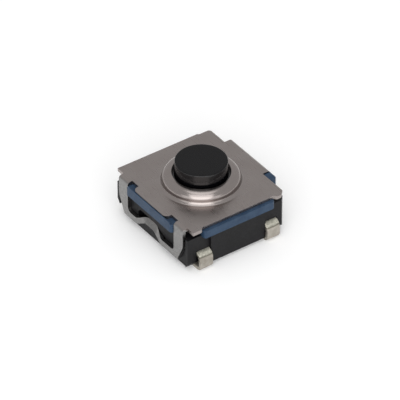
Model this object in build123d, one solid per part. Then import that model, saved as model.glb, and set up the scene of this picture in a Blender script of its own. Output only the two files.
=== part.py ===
from build123d import *
import math
import os

# Sealed tactile push button switch, surface mounted, about 6.2 mm square.
# A stamped metal cover is latched over a moulded housing. Between them lies a
# silicone seal, and under the seal a snap dome bridges two stamped contact
# frames, whose J-bent terminals stand at the housing's two short sides. The
# push button is held under the cover's drawn collar and slides straight down.
#
# Millimetres. The origin is the middle of the solder plane, +Z is up, X runs
# through the terminals and the latch hoop is on the -Y side.

# ---- overall sizes -------------------------------------------------------
cover_x = 6.26            # cover length over its corner tips
tip_y = 5.40              # cover width over its corner tips
front_tab_y = 3.05        # front tab's edge, from the middle
tongue_face = 3.18        # outer face of the rear tongue, from the middle
cover_top = 2.46          # top of the cover's flat plate
button_top = 3.68         # top of the push button at rest
travel = 0.28             # stroke of the push button
sheet = 0.18              # cover sheet thickness
beyond = 1.0              # how far cutting shapes reach past what they cut

# ---- cover plate ---------------------------------------------------------
cover_side_set_back = 0.15     # the +X edge lies back from its tips by this
cover_side_half = 2.06         # half the length of that set-back edge
cover_back_step = 0.07         # small step at the rear end of the -X edge
cover_tip_chamfer = 0.25       # cut corner that marks the first terminal
tab_half = 1.36                # half width of the front tab
tab_corner = 0.28              # corner radius of the front tab

# ---- collar drawn up round the push button -------------------------------
hole_r = 1.435
collar_height = 0.57
collar_wall_r = 1.92
collar_foot = 0.18             # radius of the hollow curve at its foot
collar_shoulder = 0.36         # radius of its rounded shoulder

# ---- latch hoop on the front, latch tongue at the rear -------------------
leg_in = 1.90                  # inner edge of each hoop leg
leg_width = 0.74
hoop_face = 2.98               # outer face of the hoop, from the middle
leaf_root = 0.30               # how far the bent leaves reach back into the plate
bend_inner = 0.02              # inner radius of the bends in the cover
strap_low = 0.44               # lower edge of the strap that joins the legs
strap_tall = 0.34
leg_cut_x = 0.46               # slanted cut on each leg's outer lower corner
leg_cut_z = 1.05
crimp_mid = -0.18              # the arch lies a little off the middle
crimp_half = 1.12              # half length of the strap's crimped arch
crimp_ramp = 0.88              # length over which each end of it rises
crimp_rise = 0.40
crimp_in = 0.05
crimp_tilt = 36.0              # degrees that the crest leans in at its top
crimp_steps = 12               # sections along the crimped arch
strap_join = 0.01              # how far the strap's flat ends run into the legs
tongue_low = 0.44
tongue_mid = -0.28             # the tongue lies off the middle, so it fits one way
tongue_half = 1.56
window_half = 0.80
window_rim = 0.38              # tongue left below the window
catch_tall = 0.62              # the housing's catch inside the window

# ---- housing -------------------------------------------------------------
stand_off = 0.19               # housing underside above the solder plane
post_x = 5.80                  # length over the corner posts
post_y = 5.76                  # width over the corner posts
post_drop = 0.55               # post tops below the cover's top
block_face = 3.03              # middle of each terminal side
block_half = 1.60
hoop_gap = 0.02                # air between the housing and the cover's legs
hoop_channel_edge = 0.08       # room beside the hoop legs in their channel
slot_width = 0.26              # relief slot inside the hoop leg at +X
slot_depth = 0.35
pocket_top = 1.22              # ceiling of the pocket that the arch enters
pocket_corner = 0.17           # slanted corner of that ceiling
pocket_depth = 0.34
pocket_gap = 0.03              # air under the crimped strap
cavity_r = 2.10
corner_cut = {-1: (0.50, 0.72), 1: (0.22, 0.28)}    # underside, at -X and +X

# ---- contact frames ------------------------------------------------------
lead_pitch = 3.94
lead_width = 0.74
lead_sheet = 0.18
lead_face = 3.22               # outer face of the terminals, from the middle
lead_shoulder = 1.01           # top of the terminals, and of the contacts
lead_bend = 0.30               # outer radius of the terminals' lower bends
lead_top_bend = 0.42           # outer radius of their upper bends
foot_end = 2.40                # inner end of the solder feet
lead_recess = 0.24             # depth of the housing's recesses behind the terminals
lead_gap = 0.03                # room beside and over the terminals in their recesses
contact_ring_in = 1.30
contact_ring_out = 1.66
contact_ring_trim = 0.95       # the ring stops here on the other frame's side
arm_width = 0.60
pad_r = 0.45

# ---- snap dome -----------------------------------------------------------
dome_r = 1.60
dome_sheet = 0.07
dome_half_width = 1.15
dome_rest_gap = 0.01           # left under the dome's crown when it is pressed flat

# ---- seal ----------------------------------------------------------------
seal_thick = 0.44              # thickness of the seal's clamped rim
seal_side_x = 3.17             # its edge at +X, past the cover
seal_back_x = 3.04             # its edge at -X, under the cover
seal_front_y = 3.10            # its front edge, with the lip over the cover's tab
seal_rear_y = 3.12             # its rear edge, in the ear beside the tongue
lip_top = 2.40                 # top of the lip
seal_x_half = 2.06             # half length of its edges at +X and -X
seal_y_half = 1.87             # half length of its edges at +Y and -Y
seal_corner = 0.14
membrane = 0.16
bowl_r = 2.05
nub_r = 0.60

# ---- push button ---------------------------------------------------------
button_gap = 0.15              # air between the button and the cover's hole
button_edge = 0.07
flange_gap = 0.02              # flange under the collar, at rest
flange_side_gap = 0.15
flange_thick = 0.24
foot_r = 0.90

# ---- worked out ----------------------------------------------------------
plate_under = cover_top - sheet
collar_under = cover_top + collar_height - sheet
leg_out = leg_in + leg_width
bend_r = sheet + bend_inner    # outer radius of the bends in the cover
strap_top = strap_low + strap_tall
front_wall = hoop_face - sheet - hoop_gap
rear_wall = tongue_face - sheet - hoop_gap
seal_low = plate_under - seal_thick
floor_z = lead_shoulder
frame_under = lead_shoulder - lead_sheet
dome_height = travel + dome_sheet + dome_rest_gap
dome_top = floor_z + dome_height
lead_y = lead_pitch / 2
membrane_top = seal_low + membrane
catch_low = tongue_low + window_rim + hoop_gap
catch_top = catch_low + catch_tall
half_turn = math.sqrt(0.5)     # sine of 45 degrees, for the middle of a quarter round


def block(x0, x1, y0, y1, z0, z1):
    """A box between two corners."""
    size = Box(x1 - x0, y1 - y0, z1 - z0)
    return Pos((x0 + x1) / 2, (y0 + y1) / 2, (z0 + z1) / 2) * size


def disc(radius, z0, z1):
    """An upright cylinder on the Z axis between two heights."""
    return Pos(0, 0, (z0 + z1) / 2) * Cylinder(radius, z1 - z0)


def prism_xy(points, z0, z1):
    """A plan outline raised between two heights."""
    face = make_face(Polyline(*points, close=True))
    return Pos(0, 0, z0) * extrude(face, z1 - z0, dir=(0, 0, 1))


def prism_xz(points, y0, y1):
    """An outline in X and Z, carried from one Y to another."""
    face = make_face(Polyline(*[(x, y0, z) for x, z in points], close=True))
    return extrude(face, y1 - y0, dir=(0, 1, 0))


# ---- crimped strap -------------------------------------------------------

def crimp(x):
    """Share of the full crimp at a place along the strap: 0 flat, 1 at the crest."""
    ramp = min(1.0, max(0.0, (crimp_half - abs(x - crimp_mid)) / crimp_ramp))
    return ramp * ramp * (3 - 2 * ramp)


def crimp_places():
    """Places along the arch, from its -X end to its +X end."""
    return [crimp_mid + crimp_half * (2 * i / crimp_steps - 1) for i in range(crimp_steps + 1)]


def strap_section(x):
    """The strap's cut face at x: it rises, moves in and leans where it is crimped."""
    share = crimp(x)
    lean = math.radians(crimp_tilt * share)
    low_y = -hoop_face + crimp_in * share
    low_z = strap_low + crimp_rise * share
    up = (strap_tall * math.sin(lean), strap_tall * math.cos(lean))
    thick = (sheet * math.cos(lean), -sheet * math.sin(lean))
    corners = [
        (x, low_y, low_z),
        (x, low_y + up[0], low_z + up[1]),
        (x, low_y + up[0] + thick[0], low_z + up[1] + thick[1]),
        (x, low_y + thick[0], low_z + thick[1]),
    ]
    return corners


def crimped_strap():
    """The middle of the strap, pressed up and in to lock into the housing."""
    sections = [make_face(Polyline(*strap_section(x), close=True)) for x in crimp_places()]
    return loft(sections)


# ---- cover ---------------------------------------------------------------

def cover_plate():
    """The flat plate with its corner tips and front tab."""
    half_x = cover_x / 2
    half_y = tip_y / 2
    side = half_x - cover_side_set_back
    chamfer = cover_tip_chamfer
    slope = cover_side_set_back
    back = cover_side_half
    outline = [
        (-half_x, -half_y),
        (half_x, -half_y),
        (half_x, -back - slope),
        (side, -back),
        (side, back),
        (half_x, back + slope),
        (half_x, half_y - chamfer),
        (half_x - chamfer, half_y),
        (-half_x + cover_back_step, half_y),
        (-half_x + cover_back_step, back),
        (-half_x, back - cover_back_step),
    ]
    plate = prism_xy(outline, plate_under, cover_top)
    tab = block(-tab_half, tab_half, -front_tab_y, 0, plate_under, cover_top)
    corners = tab.edges().filter_by(Axis.Z).group_by(Axis.Y)[0]
    return plate + fillet(corners, tab_corner)


def collar():
    """The drawn collar: hollow foot, short wall, rounded shoulder, flat top."""
    foot_mid = collar_wall_r + collar_foot
    shoulder_mid = collar_wall_r - collar_shoulder
    foot_z = cover_top + collar_foot
    shoulder_z = cover_top + collar_height - collar_shoulder

    def at(mid, z, reach, out, up):
        return (mid + out * reach, 0, z + up * reach)

    outer = [
        ThreePointArc(
            at(foot_mid, foot_z, collar_foot, 0, -1),
            at(foot_mid, foot_z, collar_foot, -half_turn, -half_turn),
            at(foot_mid, foot_z, collar_foot, -1, 0),
        ),
        Line((collar_wall_r, 0, foot_z), (collar_wall_r, 0, shoulder_z)),
        ThreePointArc(
            at(shoulder_mid, shoulder_z, collar_shoulder, 1, 0),
            at(shoulder_mid, shoulder_z, collar_shoulder, half_turn, half_turn),
            at(shoulder_mid, shoulder_z, collar_shoulder, 0, 1),
        ),
        Line((shoulder_mid, 0, cover_top + collar_height), (hole_r, 0, cover_top + collar_height)),
        Line((hole_r, 0, cover_top + collar_height), (hole_r, 0, collar_under)),
    ]
    inner_foot = collar_foot + sheet
    inner_shoulder = collar_shoulder - sheet
    inner = [
        Line((hole_r, 0, collar_under), (shoulder_mid, 0, collar_under)),
        ThreePointArc(
            at(shoulder_mid, shoulder_z, inner_shoulder, 0, 1),
            at(shoulder_mid, shoulder_z, inner_shoulder, half_turn, half_turn),
            at(shoulder_mid, shoulder_z, inner_shoulder, 1, 0),
        ),
        Line((collar_wall_r - sheet, 0, shoulder_z), (collar_wall_r - sheet, 0, foot_z)),
        ThreePointArc(
            at(foot_mid, foot_z, inner_foot, -1, 0),
            at(foot_mid, foot_z, inner_foot, -half_turn, -half_turn),
            at(foot_mid, foot_z, inner_foot, 0, -1),
        ),
        Line((foot_mid, 0, plate_under), (foot_mid, 0, cover_top)),
    ]
    return revolve(make_face(Curve() + outer + inner), Axis.Z)


def bent_leaf(x0, x1, face_y, low_z, root_y):
    """A leaf of the sheet that leaves the plate, bends and hangs down at +Y."""
    centre_y = face_y - bend_r
    centre_z = cover_top - bend_r
    inner_r = bend_r - sheet
    outline = Curve() + [
        Line((x0, root_y, cover_top), (x0, centre_y, cover_top)),
        ThreePointArc(
            (x0, centre_y, cover_top),
            (x0, centre_y + bend_r * half_turn, centre_z + bend_r * half_turn),
            (x0, face_y, centre_z),
        ),
        Line((x0, face_y, centre_z), (x0, face_y, low_z)),
        Line((x0, face_y, low_z), (x0, face_y - sheet, low_z)),
        Line((x0, face_y - sheet, low_z), (x0, face_y - sheet, centre_z)),
        ThreePointArc(
            (x0, face_y - sheet, centre_z),
            (x0, centre_y + inner_r * half_turn, centre_z + inner_r * half_turn),
            (x0, centre_y, plate_under),
        ),
        Line((x0, centre_y, plate_under), (x0, root_y, plate_under)),
        Line((x0, root_y, plate_under), (x0, root_y, cover_top)),
    ]
    return extrude(make_face(outline), x1 - x0, dir=(1, 0, 0))


def hoop_leg(side):
    """One front leg, from the plate down to the strap, with its slanted corner."""
    low, high = sorted((side * leg_in, side * leg_out))
    leg = mirror(bent_leaf(low, high, hoop_face, strap_low, tip_y / 2 - leaf_root), Plane.XZ)
    cut = [
        (side * (leg_out - leg_cut_x), strap_low),
        (side * leg_out, strap_low + leg_cut_z),
        (side * (leg_out + sheet), strap_low + leg_cut_z),
        (side * (leg_out + sheet), strap_low - sheet),
        (side * (leg_out - leg_cut_x), strap_low - sheet),
    ]
    return leg - prism_xz(cut, -hoop_face - sheet, 0)


def hoop_strap(side):
    """The flat end of the strap between one leg and the crimped arch."""
    low, high = sorted((crimp_mid + side * crimp_half, side * (leg_in + strap_join)))
    return block(low, high, -hoop_face, -hoop_face + sheet, strap_low, strap_top)


def latch_tongue():
    """The rear leaf, with the window that hooks over the housing's catch."""
    low = tongue_mid - tongue_half
    high = tongue_mid + tongue_half
    leaf = bent_leaf(low, high, tongue_face, tongue_low, tip_y / 2 - leaf_root)
    window = block(
        tongue_mid - window_half,
        tongue_mid + window_half,
        tongue_face - 2 * sheet,
        tongue_face + sheet,
        tongue_low + window_rim,
        catch_top + hoop_gap,
    )
    return leaf - window


def make_cover():
    """The whole stamped and drawn cover, one sheet."""
    plate = cover_plate() - disc(collar_wall_r + collar_foot, plate_under - beyond, cover_top + beyond)
    cover = plate + collar() + latch_tongue() + crimped_strap()
    for side in (-1, 1):
        cover += hoop_leg(side) + hoop_strap(side)
    return cover


# ---- contact frames ------------------------------------------------------

def j_lead(side, y):
    """One terminal with its strip: shoulder, drop, curl and foot, bent from one strip."""
    y0 = y - lead_width / 2
    face = side * lead_face
    skin = face - side * lead_sheet
    foot_x = side * foot_end
    low_mid = face - side * lead_bend
    top_mid = face - side * lead_top_bend
    top_z = lead_shoulder - lead_top_bend

    def quarter(mid, centre_z, radius, up):
        """A quarter round from straight over or under its centre to its outer side."""
        turned = radius * half_turn
        return ThreePointArc(
            (mid, y0, centre_z + up * radius),
            (mid + side * turned, y0, centre_z + up * turned),
            (mid + side * radius, y0, centre_z),
        )

    outline = Curve() + [
        Line((0, y0, lead_shoulder), (top_mid, y0, lead_shoulder)),
        quarter(top_mid, top_z, lead_top_bend, 1),
        Line((face, y0, top_z), (face, y0, lead_bend)),
        quarter(low_mid, lead_bend, lead_bend, -1),
        Line((low_mid, y0, 0), (foot_x, y0, 0)),
        Line((foot_x, y0, 0), (foot_x, y0, lead_sheet)),
        Line((foot_x, y0, lead_sheet), (low_mid, y0, lead_sheet)),
        quarter(low_mid, lead_bend, lead_bend - lead_sheet, -1),
        Line((skin, y0, lead_bend), (skin, y0, top_z)),
        quarter(top_mid, top_z, lead_top_bend - lead_sheet, 1),
        Line((top_mid, y0, frame_under), (0, y0, frame_under)),
        Line((0, y0, frame_under), (0, y0, lead_shoulder)),
    ]
    return extrude(make_face(outline), lead_width, dir=(0, 1, 0))


def contact_strip(y):
    """The strip that carries one frame's two terminals."""
    return j_lead(-1, y) + j_lead(1, y)


def make_outer_frame():
    """Two front terminals and the open ring that the dome's ends stand on."""
    ring = disc(contact_ring_out, frame_under, floor_z) - disc(contact_ring_in, 0, button_top)
    ring -= block(-contact_ring_out, contact_ring_out, contact_ring_trim, contact_ring_out, 0, button_top)
    return contact_strip(-lead_y) + ring


def make_centre_frame():
    """Two rear terminals and the arm that ends under the middle of the dome."""
    arm = block(-arm_width / 2, arm_width / 2, 0, lead_y, frame_under, floor_z)
    return contact_strip(lead_y) + arm + disc(pad_r, frame_under, floor_z)


# ---- snap dome -----------------------------------------------------------

def make_dome():
    """A shallow sprung cap, trimmed on two sides, that stands on the ring."""
    sphere_r = (dome_r ** 2 + dome_height ** 2) / (2 * dome_height)
    centre = Pos(0, 0, dome_top - sphere_r)
    shell = centre * Sphere(sphere_r) - centre * Sphere(sphere_r - dome_sheet)
    window = block(-dome_r, dome_r, -dome_half_width, dome_half_width, floor_z, button_top)
    return shell & window


# ---- seal ----------------------------------------------------------------

def seal_plan(low, high):
    """The clamped rim: it fills the space between the four corner posts."""
    along_x = block(-seal_back_x, seal_side_x, -seal_x_half, seal_x_half, low, high)
    along_y = block(-seal_y_half, seal_y_half, -seal_front_y, seal_rear_y, low, high)
    rims = [fillet(arm.edges().filter_by(Axis.Z), seal_corner) for arm in (along_x, along_y)]
    return rims[0] + rims[1]


def make_seal():
    """Silicone seal: rim with its front lip, thin membrane, and the nub on the dome."""
    rim = seal_plan(seal_low, plate_under) - disc(bowl_r, membrane_top, cover_top)
    low = tongue_mid - tongue_half - hoop_gap
    high = tongue_mid + tongue_half + hoop_gap
    rim -= block(low, high, rear_wall, seal_rear_y + beyond, seal_low, cover_top)
    lip_half = seal_y_half - seal_corner
    lip = block(-lip_half, lip_half, -seal_front_y, -front_tab_y, seal_low, lip_top)
    return rim + lip + disc(nub_r, dome_top, membrane_top)


# ---- push button ---------------------------------------------------------

def make_button():
    """The push button, its flange under the collar and its foot on the seal."""
    button_r = hole_r - button_gap
    flange_top = collar_under - flange_gap
    flange_low = flange_top - flange_thick
    flange_r = collar_wall_r - sheet - flange_side_gap
    cap = disc(button_r, flange_low, button_top)
    cap = fillet(cap.edges().group_by(Axis.Z)[-1], button_edge)
    return cap + disc(flange_r, flange_low, flange_top) + disc(foot_r, membrane_top, flange_low)


# ---- housing -------------------------------------------------------------

def catch():
    """The rear catch: a ramp that ends in a ledge, just above the tongue's rim."""
    reach = sheet - hoop_gap
    outline = [
        (post_y / 2 - sheet, catch_low),
        (rear_wall + hoop_gap + reach, catch_low),
        (rear_wall, catch_top),
        (post_y / 2 - sheet, catch_top),
    ]
    half = window_half - 2 * hoop_gap
    start = tongue_mid - half
    face = make_face(Polyline(*[(start, y, z) for y, z in outline], close=True))
    return extrude(face, 2 * half, dir=(1, 0, 0))


def arch_pocket():
    """The pocket behind the crimped strap.

    Its floor follows the strap. Its ceiling is level on the -X side, and follows the
    strap down on the +X side."""
    floor = []
    ceiling = []
    for x in crimp_places():
        lean = math.radians(crimp_tilt * crimp(x))
        low = strap_low + crimp_rise * crimp(x)
        floor.append((x, low - sheet * math.sin(lean) - pocket_gap))
        if x > crimp_mid:
            ceiling.append((x, low + strap_tall * math.cos(lean) + 2 * pocket_gap))
    left = crimp_mid - crimp_half
    level = [
        (left, pocket_top - pocket_corner),
        (left + pocket_corner, pocket_top),
        (crimp_mid, pocket_top),
    ]
    return prism_xz(floor[::-1] + level + ceiling, -hoop_face, -front_wall + pocket_depth)


def corner_cuts():
    """The slanted cuts under the four corners, above the solder feet."""
    cuts = []
    for side, (across, up) in corner_cut.items():
        outline = [
            (side * (post_x / 2 - across), stand_off),
            (side * post_x / 2, stand_off + up),
            (side * (post_x / 2 + beyond), stand_off + up),
            (side * (post_x / 2 + beyond), -beyond),
            (side * (post_x / 2 - across), -beyond),
        ]
        for low, high in ((-post_y, -block_half), (block_half, post_y)):
            cuts.append(prism_xz(outline, low, high))
    return cuts


def make_housing(frames):
    """The moulded housing, with the contact frames' own shape left out of it."""
    half_x = post_x / 2
    half_y = post_y / 2
    post_top = cover_top - post_drop
    body = block(-half_x, half_x, -half_y, half_y, stand_off, post_top)
    body += block(-block_face, block_face, -block_half, block_half, stand_off, seal_low)
    body -= block(-half_x, half_x, rear_wall, half_y + beyond, 0, cover_top)
    body += catch()
    marked = [edge for edge in body.edges().filter_by(Axis.Z) if is_marked_corner(edge)]
    body = chamfer(marked, cover_tip_chamfer)
    body -= seal_plan(seal_low, cover_top)
    body -= disc(cavity_r, floor_z, cover_top)
    body -= arch_pocket()
    channel = leg_out + hoop_channel_edge
    body -= block(-channel, channel, -half_y - beyond, -front_wall, 0, cover_top)
    body -= block(leg_in - slot_width, leg_in, -half_y, -front_wall + slot_depth, strap_top, cover_top)
    body -= lead_room(-1) + lead_room(1)
    for cut in corner_cuts():
        body -= cut
    for frame in frames:
        body -= frame
    return body


def is_marked_corner(edge):
    """True for the upright edge of the corner post beside the cover's cut tip."""
    middle = edge.center()
    return middle.X > block_face - sheet and middle.Y > block_half + sheet


def lead_room(side):
    """The two shallow recesses behind the terminals on one side."""
    ends = sorted((side * (post_x / 2 - lead_recess), side * (lead_face + beyond)))
    room = Part()
    for y in (-lead_y, lead_y):
        low = y - lead_width / 2 - lead_gap
        high = y + lead_width / 2 + lead_gap
        room += block(ends[0], ends[1], low, high, 0, lead_shoulder + lead_gap)
    return room


def main():
    outer_frame = make_outer_frame()
    centre_frame = make_centre_frame()
    nodes = {
        "housing": make_housing([outer_frame, centre_frame]),
        "outer_contact_frame": outer_frame,
        "centre_contact_frame": centre_frame,
        "snap_dome": make_dome(),
        "seal": make_seal(),
        "push_button": make_button(),
        "cover": make_cover(),
    }
    os.makedirs("parts", exist_ok=True)
    for name, solid in nodes.items():
        solid.label = name
        export_step(solid, f"parts/{name}.step")
        print(name, "solids", len(solid.solids()), "volume", round(solid.volume, 4))


main()
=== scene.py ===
import math

import bmesh
import bpy
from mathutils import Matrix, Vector


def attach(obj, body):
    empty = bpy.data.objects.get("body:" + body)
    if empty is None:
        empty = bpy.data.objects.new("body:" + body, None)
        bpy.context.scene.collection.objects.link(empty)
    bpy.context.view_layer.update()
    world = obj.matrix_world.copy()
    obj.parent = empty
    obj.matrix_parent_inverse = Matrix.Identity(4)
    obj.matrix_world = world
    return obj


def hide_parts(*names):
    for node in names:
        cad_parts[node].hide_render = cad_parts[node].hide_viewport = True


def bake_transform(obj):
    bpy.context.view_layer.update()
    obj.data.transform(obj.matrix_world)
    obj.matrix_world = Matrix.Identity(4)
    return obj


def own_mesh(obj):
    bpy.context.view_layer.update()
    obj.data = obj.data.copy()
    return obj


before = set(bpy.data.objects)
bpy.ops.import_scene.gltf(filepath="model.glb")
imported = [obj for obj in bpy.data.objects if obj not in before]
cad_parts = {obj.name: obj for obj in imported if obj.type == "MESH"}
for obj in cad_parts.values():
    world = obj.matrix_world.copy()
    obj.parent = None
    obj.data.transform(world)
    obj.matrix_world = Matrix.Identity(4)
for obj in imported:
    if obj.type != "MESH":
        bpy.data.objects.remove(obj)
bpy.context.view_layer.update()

# Lengths in this script are millimetres until a mesh is made, in the CAD's frame.
MM = 0.001
NEAR = 0.0005                        # two lengths closer than this are the same

# ---- cover ---------------------------------------------------------------
TIP_X, TIP_Y = 3.13, 2.70            # half length and half width over the corner tips
SIDE_X, SIDE_HALF = 2.98, 2.06       # the +X edge, set back from its tips
BACK_X = 3.06                        # the short step at the rear of the -X edge
TIP_CHAMFER, TIP_R = 0.25, 0.16
TAB_Y, TAB_HALF, TAB_CORNER = 3.05, 1.36, 0.28
COVER_TOP, SHEET = 2.46, 0.18
PLATE_UNDER = COVER_TOP - SHEET

HOLE_R, WALL_R, FOOT_R = 1.435, 1.92, 0.18
COLLAR = 0.57                        # height of the collar over the plate
SHOULDER_X, SHOULDER_R = 0.45, 0.36  # its shoulder's reach inwards, and its height

LEG_IN, LEG_OUT, HOOP_Y, BEND_R = 1.90, 2.64, 2.98, 0.20
LEG_CUT_X, LEG_CUT_Z = 0.46, 1.05
LEG_CUT_SOFT = 0.02                  # how gently the slanted cut begins
ARMPIT_R = 0.22                      # rounded inner corner between leg and strap
STRAP_LOW, STRAP_TALL = 0.44, 0.34
CRIMP_MID, CRIMP_HALF, CRIMP_RAMP = -0.18, 1.12, 0.88
CRIMP_RISE, CRIMP_IN, CRIMP_TILT = 0.40, 0.05, 36.0

TONGUE_Y, TONGUE_MID, TONGUE_HALF = 3.18, -0.28, 1.56
TONGUE_LOW, TONGUE_CORNER = 0.44, 0.16
WINDOW_HALF, WINDOW_LOW, WINDOW_HIGH = 0.80, 0.82, 1.48

# ---- seal ----------------------------------------------------------------
SEAL_LOW, SEAL_SIDE_X, SEAL_BACK_X, SEAL_FRONT_Y = 1.84, 3.17, 3.04, 3.10
SEAL_X_HALF, SEAL_Y_HALF, SEAL_CORNER, BOWL_R = 2.06, 1.87, 0.14, 2.05
SEAL_REAR_Y, SEAL_EAR_X, SEAL_EAR_Y = 2.98, 1.30, 3.12
LIP_HALF, LIP_TOP = 1.73, 2.40       # the lip, and the top of lip and ear
EAR_LINE = 2.72                      # the ear stands higher from here on
START_TURN = math.radians(-135)      # just before the outline's first point
MEMBRANE, NUB_R, NUB_EDGE = 0.16, 0.60, 0.06
HEM_DROP, FLAT_BEYOND = 0.24, 0.12   # the bell's hem under the plate, its flat past the foot

# ---- push button ---------------------------------------------------------
BUTTON_TOP, BUTTON_R, BUTTON_EDGE = 3.68, 1.285, 0.04
FLANGE_R, FLANGE_TOP, FLANGE_LOW = 1.59, 2.83, 2.59
FLANGE_HOLLOW, FLANGE_EDGE = 0.04, 0.03
BUTTON_FOOT_R, BUTTON_FOOT_EDGE = 0.90, 0.05

# ---- contacts and dome ---------------------------------------------------
LEAD_FACE, LEAD_TOP, LEAD_SHEET = 3.22, 1.01, 0.18
LEAD_BEND, LEAD_TOP_BEND = 0.30, 0.42
LEAD_Y, LEAD_WIDTH, FOOT_END = 1.97, 0.74, 2.40
RING_IN, RING_OUT, RING_TRIM, ARM_WIDTH, PAD_R = 1.30, 1.66, 0.95, 0.60, 0.45
DOME_R, DOME_TOP, DOME_SHEET, DOME_HALF, TRAVEL = 1.60, 1.37, 0.07, 1.15, 0.28

# ---- how finely the meshes are divided -----------------------------------
CORNER_STEPS, TIP_STEPS, BEND_STEPS = 8, 6, 8
COLLAR_FOOT_STEPS, SHOULDER_STEPS = 10, 16
PLATE_RINGS = (1.0, 0.6, 0.25)       # from the plate's edge in to the collar's foot
LEG_COLUMNS, LEG_ROWS, PIT_ROWS = 7, 5, 6
STRAP_ROWS, STRAP_COLUMNS = 4, 72
SIDE_COLUMNS, MID_COLUMNS = 6, 12    # beside the tongue's window, and across it
TONGUE_ROWS = (5, 4, 2)              # above the window, beside it and below it
TONGUE_CORNER_ROWS = 5
EDGE_SPACING, SEAL_SPACING = 0.12, 0.15
SEAL_CORNER_STEPS, BELL_STEPS = 6, 10
FINE_STEPS = 4                       # along a very small quarter round
BUTTON_TURNS, SEAL_TURNS = 128, 96
BUTTON_RINGS, BUTTON_RISES = (0, 0.4, 0.8, 1.1), (3.4, 3.1)    # on its top, and down its side
FOOT_RING, MEMBRANE_RING, NUB_RING = 0.4, 0.5, 0.3
STRIP_PLACES = (2.3, 1.5, 0.0, -1.5, -2.3)                     # along a strip inside the housing
DOME_ROWS, DOME_COLUMNS = 24, 32
LEAD_STEPS, LEAD_TOP_STEPS, LEAD_COLUMNS = 10, 12, 4
RING_STEPS, PAD_STEPS = 72, 36

# ---- camera --------------------------------------------------------------
AZIMUTH, ELEVATION = 54.4, 37.7
FOCAL_PX, FRAME_PX, PX_PER_MM = 4500.0, 400.0, 20.9
SENSOR = 36.0
AIM_LEFT, AIM_DOWN = 0.062, 0.938    # from the middle of the plate, as the camera sees it
CLIP_START, CLIP_END = 0.01, 10      # metres


def direction(azimuth, elevation):
    """The unit vector from the part towards a viewing angle in degrees."""
    a, e = math.radians(azimuth), math.radians(elevation)
    return Vector((math.sin(a) * math.cos(e), -math.cos(a) * math.cos(e), math.sin(e)))


def place(name, data, location, back):
    """A camera or lamp in the scene, turned so that it looks against back."""
    made = bpy.data.objects.new(name, data)
    bpy.context.scene.collection.objects.link(made)
    made.location = location
    made.rotation_mode = "QUATERNION"
    made.rotation_quaternion = (-back).to_track_quat("-Z", "Y")
    return made


def make_camera():
    """The camera at the photograph's angle, aimed so that the part sits where it does there."""
    back = direction(AZIMUTH, ELEVATION)
    turn = math.radians(AZIMUTH)
    right = Vector((math.cos(turn), math.sin(turn), 0))
    up = back.cross(right)
    aim = Vector((0, 0, COVER_TOP)) - AIM_LEFT * right - AIM_DOWN * up
    data = bpy.data.cameras.new("camera")
    data.sensor_width = SENSOR
    data.lens = FOCAL_PX * SENSOR / FRAME_PX
    data.clip_start, data.clip_end = CLIP_START, CLIP_END
    location = (aim + back * FOCAL_PX / PX_PER_MM) * MM
    bpy.context.scene.camera = place("camera", data, location, back)


# ---- materials -----------------------------------------------------------

class Nodes:
    """A node material, with short calls for the nodes that the finishes share."""

    def __init__(self, name):
        self.material = bpy.data.materials.new(name)
        self.material.use_nodes = True
        self.tree = self.material.node_tree
        self.shader = self.tree.nodes["Principled BSDF"]
        coords = self.tree.nodes.new("ShaderNodeTexCoord")
        self.place = coords.outputs["Object"]

    def node(self, kind, inputs, **settings):
        made = self.tree.nodes.new(kind)
        for key, value in settings.items():
            setattr(made, key, value)
        for key, value in inputs.items():
            if isinstance(value, bpy.types.NodeSocket):
                self.tree.links.new(value, made.inputs[key])
            else:
                made.inputs[key].default_value = value
        return made

    def noise(self, per_mm, detail=3.0, rough=0.5, stretch=(1, 1, 1)):
        """Noise whose grain is about one over per_mm millimetres."""
        scale = [per_mm / MM * s for s in stretch]
        placed = self.node("ShaderNodeMapping", {"Vector": self.place, "Scale": scale})
        inputs = {"Vector": placed.outputs["Vector"], "Scale": 1.0, "Detail": detail, "Roughness": rough}
        return self.node("ShaderNodeTexNoise", inputs).outputs["Fac"]

    def ramp(self, value, shades, across=(0.30, 0.70)):
        """One shade turning into another while the value goes across a range."""
        made = self.node("ShaderNodeValToRGB", {"Fac": value})
        for element, position, shade in zip(made.color_ramp.elements, across, shades):
            element.position = position
            element.color = (*shade, 1.0)
        return made.outputs["Color"]

    def spread(self, value, to, across=(0.3, 0.7)):
        """The value carried from one range to another, clamped."""
        inputs = {"Value": value, "From Min": across[0], "From Max": across[1], "To Min": to[0], "To Max": to[1]}
        return self.node("ShaderNodeMapRange", inputs).outputs["Result"]

    def maths(self, operation, *values):
        made = self.node("ShaderNodeMath", dict(enumerate(values)), operation=operation)
        return made.outputs["Value"]

    def mix(self, share, a, b):
        """Colour a where share is 0 and colour b where it is 1."""
        b = (*b, 1.0) if isinstance(b, tuple) else b
        made = self.node("ShaderNodeMix", {0: share, 6: a, 7: b}, data_type="RGBA")
        return made.outputs[2]

    def mix_numbers(self, share, a, b):
        """Number a where share is 0 and number b where it is 1."""
        made = self.node("ShaderNodeMix", {0: share, 2: a, 3: b}, data_type="FLOAT")
        return made.outputs[0]

    def bump(self, height, depth_mm, strength, under=None):
        inputs = {"Height": height, "Distance": depth_mm * MM, "Strength": strength}
        if under is not None:
            inputs["Normal"] = under
        return self.node("ShaderNodeBump", inputs).outputs["Normal"]

    def set(self, **values):
        """Gives the shader's sockets a number or a link."""
        for key, value in values.items():
            socket = self.shader.inputs[key.replace("_", " ")]
            if isinstance(value, bpy.types.NodeSocket):
                self.tree.links.new(value, socket)
            else:
                socket.default_value = value
        return self.material

    def axis(self, name):
        """The place along X, Y or Z, in metres."""
        return self.node("ShaderNodeSeparateXYZ", {"Vector": self.place}).outputs[name]


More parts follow.
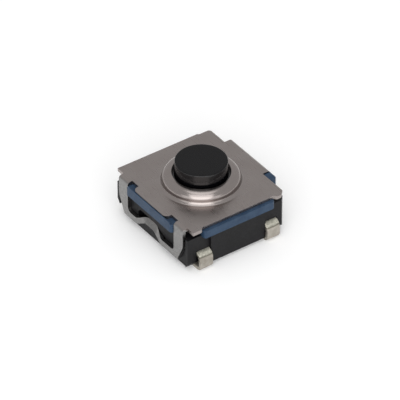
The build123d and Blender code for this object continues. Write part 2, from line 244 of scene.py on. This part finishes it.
STEEL_SHADES = (0.322, 0.285, 0.273), (0.350, 0.315, 0.302)
# painted shade: darker, greyer tones for the leaves turned down from the plate
LEAF_SHADE_TONES = (0.205, 0.201, 0.198), (0.290, 0.285, 0.280)
LEAF_SHADE_DEEP, LEAF_SHADE_SHALLOW = 0.12, 0.02     # the painted shade comes in between these depths
LEAF_SHADE_NEAR, LEAF_SHADE_FAR = 0.01, 0.06         # and between these lengths past the tips' line
DRAWN_R, PLAIN_R = 2.05, 2.35              # polished within the first, satin past the second


def steel_material():
    """Satin rolled stainless sheet: polished where the collar was drawn. Painted shade makes
    the leaves turned down from the plate darker and greyer, with a noise mottle."""
    made = Nodes("cover_steel")
    mottle = made.noise(per_mm=1.1, detail=4, rough=0.6)
    grain = made.noise(per_mm=11, detail=2, stretch=(0.10, 1, 1))
    pits = made.noise(per_mm=16, detail=2)
    leaf_mottle = made.noise(per_mm=7, detail=5, rough=0.70)

    depths = ((COVER_TOP - LEAF_SHADE_DEEP) * MM, (COVER_TOP - LEAF_SHADE_SHALLOW) * MM)
    lowered = made.spread(made.axis("Z"), to=(1, 0), across=depths)
    lengths = ((TIP_Y + LEAF_SHADE_NEAR) * MM, (TIP_Y + LEAF_SHADE_FAR) * MM)
    beyond = made.spread(made.maths("ABSOLUTE", made.axis("Y")), to=(0, 1), across=lengths)
    # painted shade over the leaves turned down from the plate and their bends, mottled by a noise
    bent = made.maths("MULTIPLY", lowered, beyond)
    colour = made.mix(bent, made.ramp(mottle, STEEL_SHADES), made.ramp(leaf_mottle, LEAF_SHADE_TONES))

    flat = made.node("ShaderNodeVectorMath", {0: made.place, 1: (1, 1, 0)}, operation="MULTIPLY")
    away = made.node("ShaderNodeVectorMath", {0: flat.outputs["Vector"]}, operation="LENGTH")
    drawn = made.spread(away.outputs["Value"], to=(1, 0), across=(DRAWN_R * MM, PLAIN_R * MM))
    satin = made.spread(grain, to=(0.26, 0.33))
    polished = made.spread(pits, to=(0.16, 0.24))
    rough = made.mix_numbers(drawn, satin, polished)

    normal = made.bump(grain, depth_mm=0.0006, strength=0.4)
    normal = made.bump(mottle, depth_mm=0.004, strength=0.4, under=normal)
    return made.set(Base_Color=colour, Metallic=1.0, Roughness=rough, Normal=normal)


TIN_SHADES = (0.29, 0.265, 0.225), (0.44, 0.41, 0.36)
DULL_SHADES = (0.34, 0.335, 0.275), (0.68, 0.66, 0.57)
# painted shadow: the dark line in the crease between the upper bend and the face
CREASE_SHADOW_SHADE = (0.11, 0.10, 0.075)
WORN_FROM, WORN_TO = 0.77, 0.83            # heights between which the plating turns dull
CREASE_SHADOW_STARTS, CREASE_SHADOW_ENDS = (0.75, 0.79), (0.81, 0.86)
CREASE_SHADOW_DARK = 0.8
WANDER = 0.10                              # how far the dull band and the painted shadow line stray up and down


def tin_material():
    """Matt tin plating: pale and warm on the flats, duller and pitted over the upper bend,
    with a painted shadow line in the crease where the two meet."""
    made = Nodes("plated_contact")
    cloud = made.noise(per_mm=3, detail=4, rough=0.6)
    pits = made.noise(per_mm=14, detail=3, rough=0.6)
    bright = made.ramp(cloud, TIN_SHADES, across=(0.32, 0.68))
    dull = made.ramp(pits, DULL_SHADES, across=(0.35, 0.70))

    wander = made.maths("MULTIPLY_ADD", cloud, WANDER * MM, -WANDER / 2 * MM)
    height = made.maths("ADD", made.axis("Z"), wander)

    def over(to, heights):
        return made.spread(height, to=to, across=[z * MM for z in heights])

    colour = made.mix(over((0, 1), (WORN_FROM, WORN_TO)), bright, dull)
    # painted shadow line along the crease where the upper bend meets the face
    line = made.maths("MULTIPLY", over((0, CREASE_SHADOW_DARK), CREASE_SHADOW_STARTS), over((1, 0), CREASE_SHADOW_ENDS))
    colour = made.mix(line, colour, CREASE_SHADOW_SHADE)
    rough = made.spread(pits, to=(0.42, 0.56))
    normal = made.bump(pits, depth_mm=0.008, strength=0.6)
    return made.set(Base_Color=colour, Metallic=0.60, Roughness=rough, Normal=normal)


SPRING_SHADES = (0.56, 0.55, 0.53), (0.66, 0.65, 0.63)


def spring_material():
    """The snap dome: thin polished spring steel with a rolled grain."""
    made = Nodes("spring_steel")
    grain = made.noise(per_mm=10, detail=3, stretch=(0.08, 1, 1))
    colour = made.ramp(grain, SPRING_SHADES)
    rough = made.spread(grain, to=(0.16, 0.28))
    normal = made.bump(grain, depth_mm=0.001, strength=0.5)
    return made.set(Base_Color=colour, Metallic=1.0, Roughness=rough, Normal=normal)


SILICONE_SHADES = (0.013, 0.034, 0.071), (0.028, 0.056, 0.101)
DUST_SHADE = (0.050, 0.085, 0.135)


def silicone_material():
    """Blue-grey silicone rubber: soft sheen, faint clouding, a fine dusty grain."""
    made = Nodes("seal_silicone")
    cloud = made.noise(per_mm=2.2, detail=4, rough=0.6)
    dust = made.noise(per_mm=18, detail=2, rough=0.6)
    base = made.ramp(cloud, SILICONE_SHADES, across=(0.34, 0.66))
    speck = made.spread(dust, to=(0, 1), across=(0.62, 0.78))
    colour = made.mix(speck, base, DUST_SHADE)
    rough = made.spread(dust, to=(0.42, 0.58))
    normal = made.bump(dust, depth_mm=0.003, strength=0.5)
    normal = made.bump(cloud, depth_mm=0.010, strength=0.5, under=normal)
    return made.set(Base_Color=colour, Roughness=rough, Normal=normal, Specular_IOR_Level=0.30)


FLECK_GAIN, FLECK_SHARE = 3.0, 0.35        # how much paler the flecks are, and how strong


def plastic_material(name, shades, rough, grain_per_mm, depth_mm, specular):
    """Black moulding compound with a fine eroded texture and slight shade changes."""
    made = Nodes(name)
    cloud = made.noise(per_mm=1.3, detail=4, rough=0.6)
    grain = made.noise(per_mm=grain_per_mm, detail=3, rough=0.6)
    fleck = made.spread(grain, to=(0, FLECK_SHARE), across=(0.60, 0.80))
    colour = made.mix(fleck, made.ramp(cloud, shades), tuple(FLECK_GAIN * c for c in shades[1]))
    roughness = made.spread(grain, to=rough)
    normal = made.bump(grain, depth_mm=depth_mm, strength=0.6)
    return made.set(Base_Color=colour, Roughness=roughness, Normal=normal, Specular_IOR_Level=specular)


# ---- mesh building -------------------------------------------------------

def to_object(mesh, name, material, body, slot, *nodes):
    """A finished bmesh, in millimetres, as a piece that rides on a body."""
    for vertex in mesh.verts:
        vertex.co *= MM
    data = bpy.data.meshes.new(name)
    mesh.to_mesh(data)
    mesh.free()
    data.shade_smooth()
    data.materials.append(material)
    made = bpy.data.objects.new(name, data)
    bpy.context.scene.collection.objects.link(made)
    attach(made, body)
    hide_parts(*nodes)
    return made


def thicken(piece, thickness):
    """Gives a sheet its thickness, behind its faces."""
    made = piece.modifiers.new("thickness", "SOLIDIFY")
    made.thickness = thickness * MM
    made.offset = -1
    made.use_even_offset = True


def soften(piece, width, segments=2, angle=50):
    """Rounds the edges sharper than an angle, and keeps flats flat."""
    made = piece.modifiers.new("edges", "BEVEL")
    made.width = width * MM
    made.segments = segments
    made.limit_method = "ANGLE"
    made.angle_limit = math.radians(angle)
    made.harden_normals = True
    made.miter_outer = "MITER_ARC"


def turn_up(mesh, faces):
    """Turns the whole surface over if these faces look down."""
    if sum(face.normal.z for face in faces) < 0:
        bmesh.ops.reverse_faces(mesh, faces=mesh.faces)


class Sheet:
    """A surface made of quads whose shared corners are one vertex."""

    def __init__(self):
        self.mesh = bmesh.new()
        self.known = {}

    def corner(self, point):
        key = tuple(round(c, 4) for c in point)
        if key not in self.known:
            self.known[key] = self.mesh.verts.new(point)
        return self.known[key]

    def face(self, *points):
        corners = []
        for point in points:
            corner = self.corner(point)
            if corner not in corners:
                corners.append(corner)
        if len(corners) > 2 and self.mesh.faces.get(corners) is None:
            self.mesh.faces.new(corners)

    def grid(self, rows, keep=None, closed=False):
        """Quads between rows of points. keep(i, j) says whether a quad is made."""
        for i in range(len(rows) - 1):
            count = len(rows[i])
            for j in range(count if closed else count - 1):
                k = (j + 1) % count
                if keep is None or keep(i, j):
                    self.face(rows[i][j], rows[i][k], rows[i + 1][k], rows[i + 1][j])

    def done(self):
        bmesh.ops.recalc_face_normals(self.mesh, faces=self.mesh.faces)
        return self.mesh


def steps(start, end, count):
    """Evenly spaced values from start to end, both included."""
    return [start + (end - start) * i / count for i in range(count + 1)]


def joined(*parts):
    """Runs of values one after another, where each begins with the last one's end."""
    return [value for i, part in enumerate(parts) for value in (part[1:] if i else part)]


def eased(share):
    """A share from 0 to 1 that starts and ends gently."""
    return share * share * (3 - 2 * share)


def arc(centre, radius, start, end, count):
    """Points on an arc in a plane, angles in degrees."""
    turns = [math.radians(a) for a in steps(start, end, count)]
    return [(centre[0] + radius * math.cos(t), centre[1] + radius * math.sin(t)) for t in turns]


def divided(here, there, spacing):
    """Points from here up to, but not at, the next corner."""
    count = max(1, round(math.dist(here, there) / spacing))
    return [tuple(a + (b - a) * (i / count) for a, b in zip(here, there)) for i in range(count)]


def runs(corners):
    """Each corner of a closed outline with the next one."""
    return zip(corners, corners[1:] + corners[:1])


def spun(profile, count):
    """A closed body turned about Z from (radius, height) points; radius 0 ends it."""
    made = Sheet()
    turns = [2 * math.pi * i / count for i in range(count)]
    made.grid([[(r * math.cos(t), r * math.sin(t), z) for t in turns] for r, z in profile], closed=True)
    return made.done()


# ---- cover ---------------------------------------------------------------

def cover_outline():
    """The plate's edge, counter-clockwise from its front left tip."""
    tab = TAB_Y - TAB_CORNER
    inner = TAB_HALF - TAB_CORNER
    front = [(-TIP_X, -TIP_Y), (-LEG_OUT, -TIP_Y), (-LEG_IN, -TIP_Y), (-TAB_HALF, -TIP_Y)]
    front += arc((-inner, -tab), TAB_CORNER, 180, 270, CORNER_STEPS)
    front += arc((inner, -tab), TAB_CORNER, 270, 360, CORNER_STEPS)
    front += [(TAB_HALF, -TIP_Y), (LEG_IN, -TIP_Y), (LEG_OUT, -TIP_Y), (TIP_X, -TIP_Y)]
    slope = TIP_X - SIDE_X
    side = [(TIP_X, -SIDE_HALF - slope), (SIDE_X, -SIDE_HALF), (SIDE_X, SIDE_HALF)]
    side += [(TIP_X, SIDE_HALF + slope), (TIP_X, TIP_Y - TIP_CHAMFER), (TIP_X - TIP_CHAMFER, TIP_Y)]
    rear = [(TONGUE_MID + TONGUE_HALF, TIP_Y), (TONGUE_MID - TONGUE_HALF, TIP_Y)]
    rear += arc((-BACK_X + TIP_R, TIP_Y - TIP_R), TIP_R, 90, 180, TIP_STEPS)
    rear += [(-BACK_X, SIDE_HALF), (-TIP_X, SIDE_HALF - TIP_X + BACK_X)]
    return front + side + rear


def collar_profile():
    """(radius, height) from the plate up the drawn collar to its hole."""
    foot = arc((WALL_R + FOOT_R, COVER_TOP + FOOT_R), FOOT_R, 270, 180, COLLAR_FOOT_STEPS)
    middle_z = COVER_TOP + COLLAR - SHOULDER_R
    shoulder = []
    for turn in steps(0, 90, SHOULDER_STEPS):
        t = math.radians(turn)
        shoulder.append((WALL_R - SHOULDER_X * (1 - math.cos(t)), middle_z + SHOULDER_R * math.sin(t)))
    return foot + shoulder + [(HOLE_R, COVER_TOP + COLLAR)]


def bend_rows(face_y, heights):
    """(y, z) down a leaf that leaves the plate at the tips' line, bends and hangs."""
    bend = arc((face_y - BEND_R, COVER_TOP - BEND_R), BEND_R, 90, 0, BEND_STEPS)
    return [(TIP_Y, COVER_TOP)] + bend + [(face_y, z) for z in heights]


def crimp(x):
    """Share of the full crimp at a place along the strap."""
    return eased(min(1.0, max(0.0, (CRIMP_HALF - abs(x - CRIMP_MID)) / CRIMP_RAMP)))


def strap_point(x, share_up):
    """A point on the strap's outer face, share_up of the way up it."""
    share = crimp(x)
    lean = math.radians(CRIMP_TILT * share)
    y = -HOOP_Y + CRIMP_IN * share + share_up * STRAP_TALL * math.sin(lean)
    z = STRAP_LOW + CRIMP_RISE * share + share_up * STRAP_TALL * math.cos(lean)
    return (x, y, z)


def add_hoop(made):
    """The two front legs and the crimped strap between them."""
    strap_top = STRAP_LOW + STRAP_TALL
    cut_top = STRAP_LOW + LEG_CUT_Z
    pit_top = strap_top + ARMPIT_R
    reach = LEG_IN - ARMPIT_R
    heights = joined(
        steps(COVER_TOP - BEND_R, cut_top, LEG_ROWS),
        steps(cut_top, pit_top, LEG_ROWS),
        steps(pit_top, strap_top, PIT_ROWS),
        steps(strap_top, STRAP_LOW, STRAP_ROWS),
    )[1:]

    def inner_edge(z):
        if z >= pit_top:
            return LEG_IN
        if z <= strap_top:
            return reach
        return reach + math.sqrt(max(0.0, ARMPIT_R ** 2 - (pit_top - z) ** 2))

    def outer_edge(z):
        down = max(0.0, (cut_top - z) / LEG_CUT_Z)
        first = math.sqrt(LEG_CUT_SOFT)
        share = (math.sqrt(down * down + LEG_CUT_SOFT) - first) / (math.sqrt(1 + LEG_CUT_SOFT) - first)
        return LEG_OUT - LEG_CUT_X * share

    for side in (-1, 1):
        rows = []
        for y, z in bend_rows(HOOP_Y, heights):
            columns = steps(inner_edge(z), outer_edge(z), LEG_COLUMNS)
            rows.append([(side * x, -y, z) for x in columns])
        made.grid(rows)
    columns = steps(-reach, reach, STRAP_COLUMNS)
    ups = [1 - i / STRAP_ROWS for i in range(STRAP_ROWS + 1)]
    made.grid([[strap_point(x, up) for x in columns] for up in ups])


def tongue_columns(trim=0.0):
    """Places across the tongue: beside its window, over it, and beside it again."""
    window = (TONGUE_MID - WINDOW_HALF, TONGUE_MID + WINDOW_HALF)
    return joined(
        steps(TONGUE_MID - TONGUE_HALF + trim, window[0], SIDE_COLUMNS),
        steps(*window, MID_COLUMNS),
        steps(window[1], TONGUE_MID + TONGUE_HALF - trim, SIDE_COLUMNS),
    )


def add_tongue(made):
    """The rear tongue with its window and rounded lower corners."""
    corner_top = TONGUE_LOW + TONGUE_CORNER
    heights = joined(
        steps(COVER_TOP - BEND_R, WINDOW_HIGH, TONGUE_ROWS[0]),
        steps(WINDOW_HIGH, WINDOW_LOW, TONGUE_ROWS[1]),
        steps(WINDOW_LOW, corner_top, TONGUE_ROWS[2]),
    )[1:]
    turns = [math.radians(a) for a in steps(15, 90, TONGUE_CORNER_ROWS)]
    heights += [corner_top - TONGUE_CORNER * math.sin(t) for t in turns]
    rows = []
    for y, z in bend_rows(TONGUE_Y, heights):
        down = max(0.0, corner_top - z)
        trim = TONGUE_CORNER - math.sqrt(max(0.0, TONGUE_CORNER ** 2 - down ** 2))
        rows.append([(x, y, z) for x in tongue_columns(trim)])

    def solid(i, j):
        middle = (rows[i][0][2] + rows[i + 1][0][2]) / 2
        in_window = SIDE_COLUMNS <= j < SIDE_COLUMNS + MID_COLUMNS
        return not (in_window and rows[i][0][1] == TONGUE_Y and WINDOW_LOW < middle < WINDOW_HIGH)

    made.grid(rows, solid)


def make_cover(material):
    """The whole cover: plate, collar, hoop and tongue, one sheet."""
    outline = []
    leg = steps(LEG_IN, LEG_OUT, LEG_COLUMNS)
    for here, there in runs(cover_outline()):
        if here == (TONGUE_MID + TONGUE_HALF, TIP_Y):
            outline += [(x, TIP_Y) for x in reversed(tongue_columns()[1:])]
        elif here == (-LEG_OUT, -TIP_Y):
            outline += [(-x, -TIP_Y) for x in reversed(leg[1:])]
        elif here == (LEG_IN, -TIP_Y):
            outline += [(x, -TIP_Y) for x in leg[:-1]]
        else:
            outline += divided(here, there, EDGE_SPACING)
    reaches = [math.hypot(x, y) for x, y in outline]
    foot = WALL_R + FOOT_R
    rings = [([foot + (reach - foot) * share for reach in reaches], COVER_TOP) for share in PLATE_RINGS]
    rings += [([radius] * len(outline), z) for radius, z in collar_profile()]
    rows = []
    for radii, z in rings:
        row = [(x / reach * r, y / reach * r, z) for (x, y), reach, r in zip(outline, reaches, radii)]
        rows.append(row)
    made = Sheet()
    made.grid(rows, closed=True)
    add_hoop(made)
    add_tongue(made)
    mesh = made.done()
    turn_up(mesh, [max(mesh.faces, key=lambda face: face.calc_area())])
    piece = to_object(mesh, "cover_shell", material, "base", "cover_steel", "cover")
    thicken(piece, SHEET)
    soften(piece, width=0.028)


# ---- push button ---------------------------------------------------------

def make_button(top, side):
    """The round push button with its flange and the foot that stands on the seal."""
    foot_z = SEAL_LOW + MEMBRANE
    foot_x = BUTTON_FOOT_R - BUTTON_FOOT_EDGE
    flange_x = FLANGE_R - FLANGE_EDGE
    hollow_z = FLANGE_TOP + FLANGE_HOLLOW
    edge_z = BUTTON_TOP - BUTTON_EDGE
    profile = [(r, BUTTON_TOP) for r in BUTTON_RINGS]
    profile += arc((BUTTON_R - BUTTON_EDGE, edge_z), BUTTON_EDGE, 90, 0, 2 * FINE_STEPS)
    profile += [(BUTTON_R, z) for z in (*BUTTON_RISES, hollow_z)]
    profile += arc((BUTTON_R + FLANGE_HOLLOW, hollow_z), FLANGE_HOLLOW, 180, 270, FINE_STEPS)[1:]
    profile += arc((flange_x, FLANGE_TOP - FLANGE_EDGE), FLANGE_EDGE, 90, 0, FINE_STEPS)
    profile += arc((flange_x, FLANGE_LOW + FLANGE_EDGE), FLANGE_EDGE, 0, -90, FINE_STEPS)
    profile += [(BUTTON_FOOT_R, FLANGE_LOW)]
    profile += arc((foot_x, foot_z + BUTTON_FOOT_EDGE), BUTTON_FOOT_EDGE, 0, -90, FINE_STEPS)
    profile += [(FOOT_RING, foot_z), (0, foot_z)]
    mesh = spun(profile, BUTTON_TURNS)
    piece = to_object(mesh, "button_cap", top, "button", "button_plastic", "push_button")
    piece.data.materials.append(side)
    for polygon in piece.data.polygons:
        polygon.material_index = int(polygon.center.z < (BUTTON_TOP - BUTTON_EDGE / 2) * MM)


# ---- seal ----------------------------------------------------------------

def seal_outline():
    """The edge of the clamped rim, counter-clockwise from the front left."""
    c = SEAL_CORNER

    def corner(x, y, start):
        return arc((x, y), c, start, start + 90, SEAL_CORNER_STEPS)

    points = [(-SEAL_Y_HALF, -SEAL_X_HALF)]
    points += corner(-SEAL_Y_HALF + c, -SEAL_FRONT_Y + c, 180)
    points += corner(SEAL_Y_HALF - c, -SEAL_FRONT_Y + c, 270)
    points += [(SEAL_Y_HALF, -SEAL_X_HALF)]
    points += corner(SEAL_SIDE_X - c, -SEAL_X_HALF + c, 270)
    points += corner(SEAL_SIDE_X - c, SEAL_X_HALF - c, 0)
    points += [(SEAL_Y_HALF, SEAL_X_HALF), (SEAL_Y_HALF, EAR_LINE)]
    points += corner(SEAL_Y_HALF - c, SEAL_EAR_Y - c, 0)
    points += [(SEAL_EAR_X, SEAL_EAR_Y), (SEAL_EAR_X, SEAL_REAR_Y)]
    points += corner(-SEAL_Y_HALF + c, SEAL_REAR_Y - c, 90)
    points += [(-SEAL_Y_HALF, SEAL_X_HALF)]
    points += corner(-SEAL_BACK_X + c, SEAL_X_HALF - c, 90)
    points += corner(-SEAL_BACK_X + c, -SEAL_X_HALF + c, 180)
    return points


def bowl_edge(outline):
    """A point of the bowl's round edge for each point of the outline, never turning back."""
    turn = START_TURN
    points = []
    for x, y in outline:
        here = math.atan2(y, x)
        turn = max(turn, here if here > START_TURN else here + 2 * math.pi)
        points.append((BOWL_R * math.cos(turn), BOWL_R * math.sin(turn)))
    return points


def seat_line(outline):
    """Where the raised lip and ear end on the rim's top, for each point of the outline."""
    first = outline.index((SEAL_Y_HALF, EAR_LINE))
    last = outline.index((SEAL_EAR_X, SEAL_REAR_Y))
    points = []
    for i, (x, y) in enumerate(outline):
        if first <= i <= last:
            share = (i - first) / (last - first)
            points.append((SEAL_Y_HALF + (SEAL_EAR_X - SEAL_Y_HALF) * share, EAR_LINE))
        elif y < -TAB_Y and abs(x) < LIP_HALF + NEAR:
            points.append((x, -TAB_Y))
        else:
            points.append((x, y))
    return points


def stands_higher(face):
    """True for a face of the rim's top that belongs to the lip or the ear."""
    places = [vertex.co for vertex in face.verts]
    level = all(abs(p.z - PLATE_UNDER) < NEAR for p in places)
    lip = all(p.y < -TAB_Y + NEAR and abs(p.x) < LIP_HALF + NEAR for p in places)
    ear = all(p.y > EAR_LINE - NEAR and p.x > SEAL_EAR_X - NEAR for p in places)
    return level and (lip or ear)


def make_seal_rim(material):
    """The rim clamped between cover and housing, with its raised lip and ear."""
    outline = [point for pair in runs(seal_outline()) for point in divided(*pair, SEAL_SPACING)]
    inner = bowl_edge(outline)
    rows = [[(*p, SEAL_LOW) for p in ring] for ring in (inner, outline)]
    rows += [[(*p, PLATE_UNDER) for p in ring] for ring in (outline, seat_line(outline), inner)]
    made = Sheet()
    made.grid(rows + rows[:1], closed=True)
    mesh = made.done()
    base = [face for face in mesh.faces if stands_higher(face)]
    raised = bmesh.ops.extrude_face_region(mesh, geom=base)
    for vertex in raised["geom"]:
        if isinstance(vertex, bmesh.types.BMVert):
            vertex.co.z = LIP_TOP
    bmesh.ops.delete(mesh, geom=base, context="FACES_ONLY")
    bmesh.ops.recalc_face_normals(mesh, faces=mesh.faces)
    piece = to_object(mesh, "seal_rim", material, "base", "seal_silicone", "seal")
    soften(piece, width=0.022, segments=3, angle=40)


def make_seal_membrane(material):
    """The moving middle of the seal: a bell that ends in a nub over the dome."""
    hem = PLATE_UNDER - HEM_DROP
    flat_r = BUTTON_FOOT_R + FLAT_BEYOND
    top = SEAL_LOW + MEMBRANE
    rise = [(flat_r + (BOWL_R - flat_r) * s, eased(s)) for s in steps(0, 1, BELL_STEPS)]
    profile = [(0, top), (MEMBRANE_RING, top)]
    profile += [(r, top + (hem + MEMBRANE - top) * share) for r, share in rise]
    profile += [(r, SEAL_LOW + (hem - SEAL_LOW) * share) for r, share in reversed(rise)]
    profile += [(NUB_R + NUB_EDGE, SEAL_LOW), (NUB_R, SEAL_LOW - NUB_EDGE)]
    profile += arc((NUB_R - NUB_EDGE, DOME_TOP + NUB_EDGE), NUB_EDGE, 0, -90, FINE_STEPS)
    profile += [(NUB_RING, DOME_TOP), (0, DOME_TOP)]
    mesh = spun(profile, SEAL_TURNS)
    piece = to_object(mesh, "seal_membrane", material, "base", "seal_silicone", "seal")
    piece.parent = None
    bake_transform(piece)


# ---- snap dome -----------------------------------------------------------

def make_dome(material):
    """The sprung cap over the contacts, trimmed straight on two sides."""
    tall = DOME_TOP - LEAD_TOP
    sphere = (DOME_R ** 2 + tall ** 2) / (2 * tall)

    def on_dome(x, y):
        reach = min(math.hypot(x, y), DOME_R)
        return (x, y, DOME_TOP - sphere + math.sqrt(sphere ** 2 - reach ** 2))

    made = Sheet()
    rows = []
    for y in steps(-DOME_HALF, DOME_HALF, DOME_ROWS):
        half = math.sqrt(DOME_R ** 2 - y * y)
        rows.append([on_dome(half * math.sin(t * math.pi / 2), y) for t in steps(-1, 1, DOME_COLUMNS)])
    made.grid(rows)
    mesh = made.done()
    turn_up(mesh, mesh.faces)
    bmesh.ops.solidify(mesh, geom=mesh.faces[:], thickness=DOME_SHEET)
    for vertex in mesh.verts:
        vertex.co.z = max(vertex.co.z, LEAD_TOP)
    piece = to_object(mesh, "dome_cap", material, "base", "spring_steel", "snap_dome")
    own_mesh(piece)


# ---- contact frames ------------------------------------------------------

def lead_path(side):
    """(x, z) along one terminal's outer face, from its foot's end up to its shoulder."""
    low = arc((LEAD_FACE - LEAD_BEND, LEAD_BEND), LEAD_BEND, 270, 360, LEAD_STEPS)
    top_centre = (LEAD_FACE - LEAD_TOP_BEND, LEAD_TOP - LEAD_TOP_BEND)
    high = arc(top_centre, LEAD_TOP_BEND, 0, 90, LEAD_TOP_STEPS)
    return [(side * x, z) for x, z in [(FOOT_END, 0.0)] + low + high]


def make_terminals(name, material, y, node):
    """One bent strip: two J terminals joined through the housing."""
    middle = [(x, LEAD_TOP) for x in STRIP_PLACES]
    path = lead_path(1) + middle + lead_path(-1)[::-1]
    columns = steps(y - LEAD_WIDTH / 2, y + LEAD_WIDTH / 2, LEAD_COLUMNS)
    made = Sheet()
    made.grid([[(x, column, z) for column in columns] for x, z in path])
    mesh = made.done()
    turn_up(mesh, [min(mesh.faces, key=lambda face: abs(face.calc_center_median().x))])
    piece = to_object(mesh, name, material, "base", "plated_contact", node)
    thicken(piece, LEAD_SHEET)
    soften(piece, width=0.03, segments=3)


def make_ring(material):
    """The open ring on the front strip that the dome stands on."""
    made = Sheet()
    under = LEAD_TOP - LEAD_SHEET
    start = math.degrees(math.asin(RING_TRIM / RING_OUT))
    rows = []
    for radius, z in ((RING_IN, under), (RING_OUT, under), (RING_OUT, LEAD_TOP), (RING_IN, LEAD_TOP)):
        rows.append([(*point, z) for point in arc((0, 0), radius, 180 - start, 360 + start, RING_STEPS)])
    made.grid(rows + rows[:1])
    for end in (0, -1):
        made.face(*[row[end] for row in rows])
    piece = to_object(made.done(), "contact_ring", material, "base", "plated_contact", "outer_contact_frame")
    soften(piece, width=0.02)


def make_pad(material):
    """The arm and round pad under the middle of the dome."""
    half = ARM_WIDTH / 2
    corner = math.degrees(math.asin(half / PAD_R))
    pad = arc((0, 0), PAD_R, 180 - corner, 360 + corner, PAD_STEPS)
    outline = [(half, LEAD_Y), (-half, LEAD_Y)] + pad
    under = [(*point, LEAD_TOP - LEAD_SHEET) for point in outline]
    over = [(*point, LEAD_TOP) for point in outline]
    made = Sheet()
    made.face(*under)
    made.face(*over)
    made.grid([under, over], closed=True)
    piece = to_object(made.done(), "contact_pad", material, "base", "plated_contact", "centre_contact_frame")
    soften(piece, width=0.02)


# ---- housing -------------------------------------------------------------

def finish_housing(material):
    """The moulded housing keeps its CAD shape and sharp edges, with its flats cleaned up."""
    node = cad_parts["housing"]
    node.data.materials.clear()
    node.data.materials.append(material)
    flats = node.modifiers.new("flats", "DECIMATE")
    flats.decimate_type = "DISSOLVE"
    flats.angle_limit = math.radians(1.0)
    flats.use_dissolve_boundaries = False


# ---- stage and light -----------------------------------------------------
FLOOR_REACH, FLOOR_Z = 3.0, -1e-6          # metres; just below the solder plane
FLOOR_SHADE, FLOOR_LIFT = 0.88, 0.15       # its colour, and what the camera sees on top
HORIZON, SKY, SKY_FROM = 0.62, 0.60, 0.12  # the studio's shades, and where the sky's begins

# azimuth and elevation in degrees; distance, width and height in metres; watts
LAMPS = {
    "key_softbox": (54.4, 34, 0.25, 0.25, 0.34, 0.41),
    "fill_softbox": (54.4, 20, 0.30, 0.75, 0.22, 0.36),
    "top_softbox": (54.4, 88, 0.30, 0.18, 0.18, 0.11),
}


def make_floor():
    """A wide pale floor that keeps the part's soft shadow and shows as white."""
    mesh = bmesh.new()
    turns = ((-1, -1), (1, -1), (1, 1), (-1, 1))
    mesh.faces.new([mesh.verts.new((x * FLOOR_REACH, y * FLOOR_REACH, FLOOR_Z)) for x, y in turns])
    data = bpy.data.meshes.new("floor")
    mesh.to_mesh(data)
    mesh.free()
    floor = bpy.data.objects.new("floor", data)
    bpy.context.scene.collection.objects.link(floor)
    made = Nodes("floor_paper")
    paper = made.node("ShaderNodeBsdfDiffuse", {"Color": (FLOOR_SHADE, FLOOR_SHADE, FLOOR_SHADE, 1)})
    path = made.node("ShaderNodeLightPath", {}).outputs
    seen = made.maths("MAXIMUM", path["Is Camera Ray"], path["Is Glossy Ray"])
    seen = made.maths("MAXIMUM", seen, path["Is Transmission Ray"])
    lift = made.maths("MULTIPLY", seen, FLOOR_LIFT)
    glow = made.node("ShaderNodeEmission", {"Color": (1, 1, 1, 1), "Strength": lift})
    both = made.node("ShaderNodeAddShader", {0: paper.outputs[0], 1: glow.outputs[0]})
    made.tree.links.new(both.outputs[0], made.tree.nodes["Material Output"].inputs["Surface"])
    data.materials.append(made.material)


def make_world():
    """A soft grey studio dome, a touch paler at the horizon and below it."""
    world = bpy.data.worlds.new("studio")
    bpy.context.scene.world = world
    world.use_nodes = True
    tree = world.node_tree
    background = tree.nodes["Background"]
    coords = tree.nodes.new("ShaderNodeTexCoord")
    parts = tree.nodes.new("ShaderNodeSeparateXYZ")
    ramp = tree.nodes.new("ShaderNodeValToRGB")
    tree.links.new(coords.outputs["Generated"], parts.inputs["Vector"])
    tree.links.new(parts.outputs["Z"], ramp.inputs["Fac"])
    tree.links.new(ramp.outputs["Color"], background.inputs["Color"])
    stops = ((0.0, HORIZON), (SKY_FROM, SKY))
    for element, (position, shade) in zip(ramp.color_ramp.elements, stops):
        element.position = position
        element.color = (shade, shade, shade, 1)
    background.inputs["Strength"].default_value = 1.0


def make_lamp(name, azimuth, elevation, distance, width, tall, power):
    """A softbox that faces the part."""
    data = bpy.data.lights.new(name, "AREA")
    data.shape = "RECTANGLE"
    data.size, data.size_y = width, tall
    data.energy = power
    back = direction(azimuth, elevation)
    place(name, data, back * distance, back)


# ---- the scene -----------------------------------------------------------
bpy.context.scene.view_settings.view_transform = "Standard"
make_camera()
make_floor()
make_world()
for lamp, setting in LAMPS.items():
    make_lamp(lamp, *setting)

button_top = plastic_material(
    "button_top", shades=((0.0008, 0.0008, 0.0012), (0.0016, 0.0016, 0.0022)),
    rough=(0.22, 0.30), grain_per_mm=12, depth_mm=0.0008, specular=0.22)
button_side = plastic_material(
    "button_side", shades=((0.0010, 0.0010, 0.0014), (0.0022, 0.0022, 0.0028)),
    rough=(0.12, 0.18), grain_per_mm=12, depth_mm=0.0005, specular=0.60)
housing_plastic = plastic_material(
    "housing_plastic", shades=((0.0036, 0.0034, 0.0042), (0.0066, 0.0064, 0.0074)),
    rough=(0.44, 0.60), grain_per_mm=10, depth_mm=0.004, specular=0.24)
tin = tin_material()
silicone = silicone_material()

make_cover(steel_material())
make_button(button_top, button_side)
make_seal_rim(silicone)
make_seal_membrane(silicone)
make_dome(spring_material())
make_terminals("front_terminals", tin, -LEAD_Y, "outer_contact_frame")
make_terminals("rear_terminals", tin, LEAD_Y, "centre_contact_frame")
make_ring(tin)
make_pad(tin)
finish_housing(housing_plastic)
